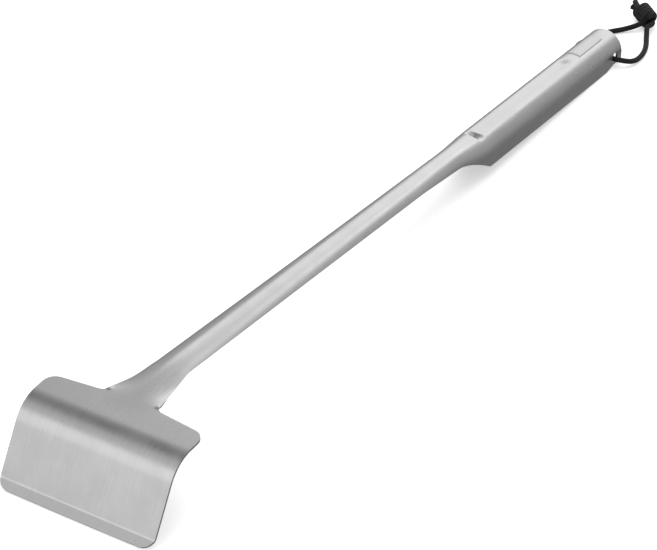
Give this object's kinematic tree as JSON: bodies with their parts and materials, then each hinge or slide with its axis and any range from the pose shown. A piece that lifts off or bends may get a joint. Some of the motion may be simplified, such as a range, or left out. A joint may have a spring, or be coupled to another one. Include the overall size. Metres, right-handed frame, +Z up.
{
  "type": "charcoal rake",
  "caption": "One-piece pressed stainless charcoal rake: wide bent-down blade with a small lip, long raised shaft, rolled open-bottomed handle and a cord loop.",
  "frame": {"origin": "centre of the bounding box of the metal tool, on the surface it lies on, with the blade's lip and the handle's rear edges touching that surface", "axes": "+Y from the blade to the handle's end, +X across the blade, +Z up; the lying tool is tipped 2.4 degrees down toward the handle's end"},
  "size_m": [0.107, 0.6881, 0.0484],
  "materials": {
    "brushed_stainless": "satin, brushed along the tool",
    "badge_steel": "satin, a little brighter than the body",
    "black_cord": "woven round cord"
  },
  "bodies": {
    "rake": {"rake_body": "brushed_stainless", "badge_plate": "badge_steel"},
    "hang_loop": {"hanging_cord": "black_cord", "cord_knot": "black_cord"}
  },
  "joints": [
    {"name": "loop_swing", "type": "hinge", "parent": "rake", "child": "hang_loop", "pos_m": [0, 0.29971, 0.00553], "axis": [1, 0, 0], "range_deg": [-90, 120]}
  ]
}
